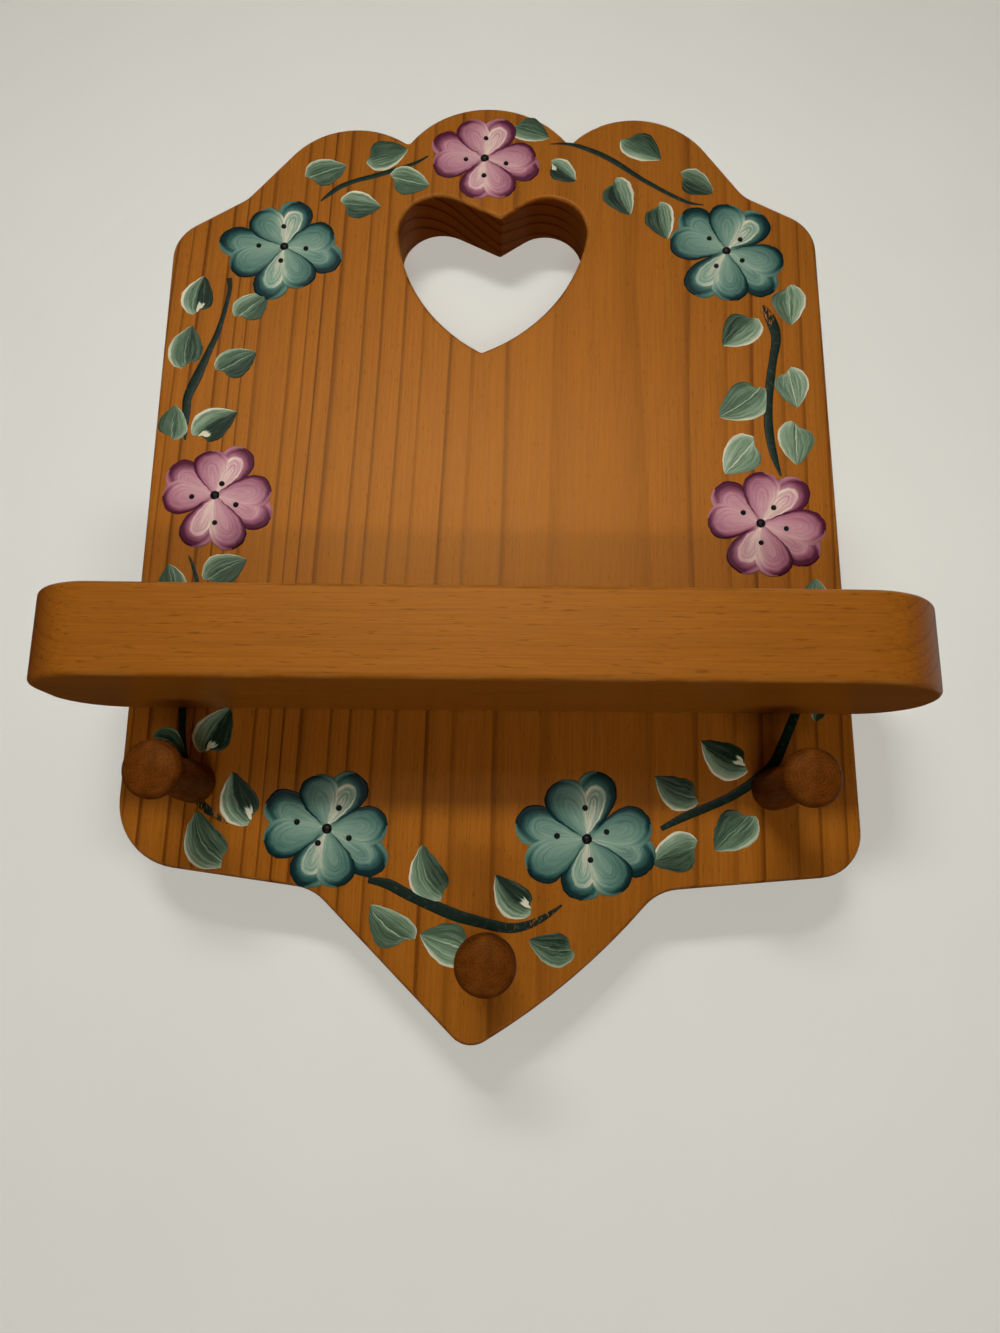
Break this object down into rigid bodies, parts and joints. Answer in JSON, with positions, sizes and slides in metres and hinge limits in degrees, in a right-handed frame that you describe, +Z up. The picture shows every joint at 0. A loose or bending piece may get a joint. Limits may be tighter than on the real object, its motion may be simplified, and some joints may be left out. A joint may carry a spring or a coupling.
{
  "type": "wall shelf with pegs",
  "caption": "Country-style wooden wall shelf: a scalloped back board with a heart cut-out, a shelf across it, turned pegs below for hanging things, and a sawtooth hanger behind.",
  "frame": {"origin": "on the board's flat back, on its centre line, level with the top of the shelf", "axes": "+Z up, +Y towards the wall, out of the board's back; the front with the shelf and pegs faces -Y, and +X is to the right as it is looked at"},
  "size_m": [0.1994, 0.056, 0.2491],
  "materials": {
    "board_pine": "stained and varnished, satin",
    "shelf_pine": "stained and varnished, satin",
    "peg_birch": "stained darker, satin",
    "screw_steel": "zinc plated",
    "hanger_steel": "zinc plated",
    "flower_paint": "hand-painted artist's acrylic under varnish"
  },
  "bodies": {
    "root": {"back_board": "board_pine", "shelf": "shelf_pine", "peg_left": "peg_birch", "peg_centre": "peg_birch", "peg_right": "peg_birch", "shelf_screw_left": "screw_steel", "shelf_screw_right": "screw_steel", "sawtooth_hanger": "hanger_steel", "hanger_nail_left": "hanger_steel", "hanger_nail_right": "hanger_steel"}
  },
  "joints": []
}
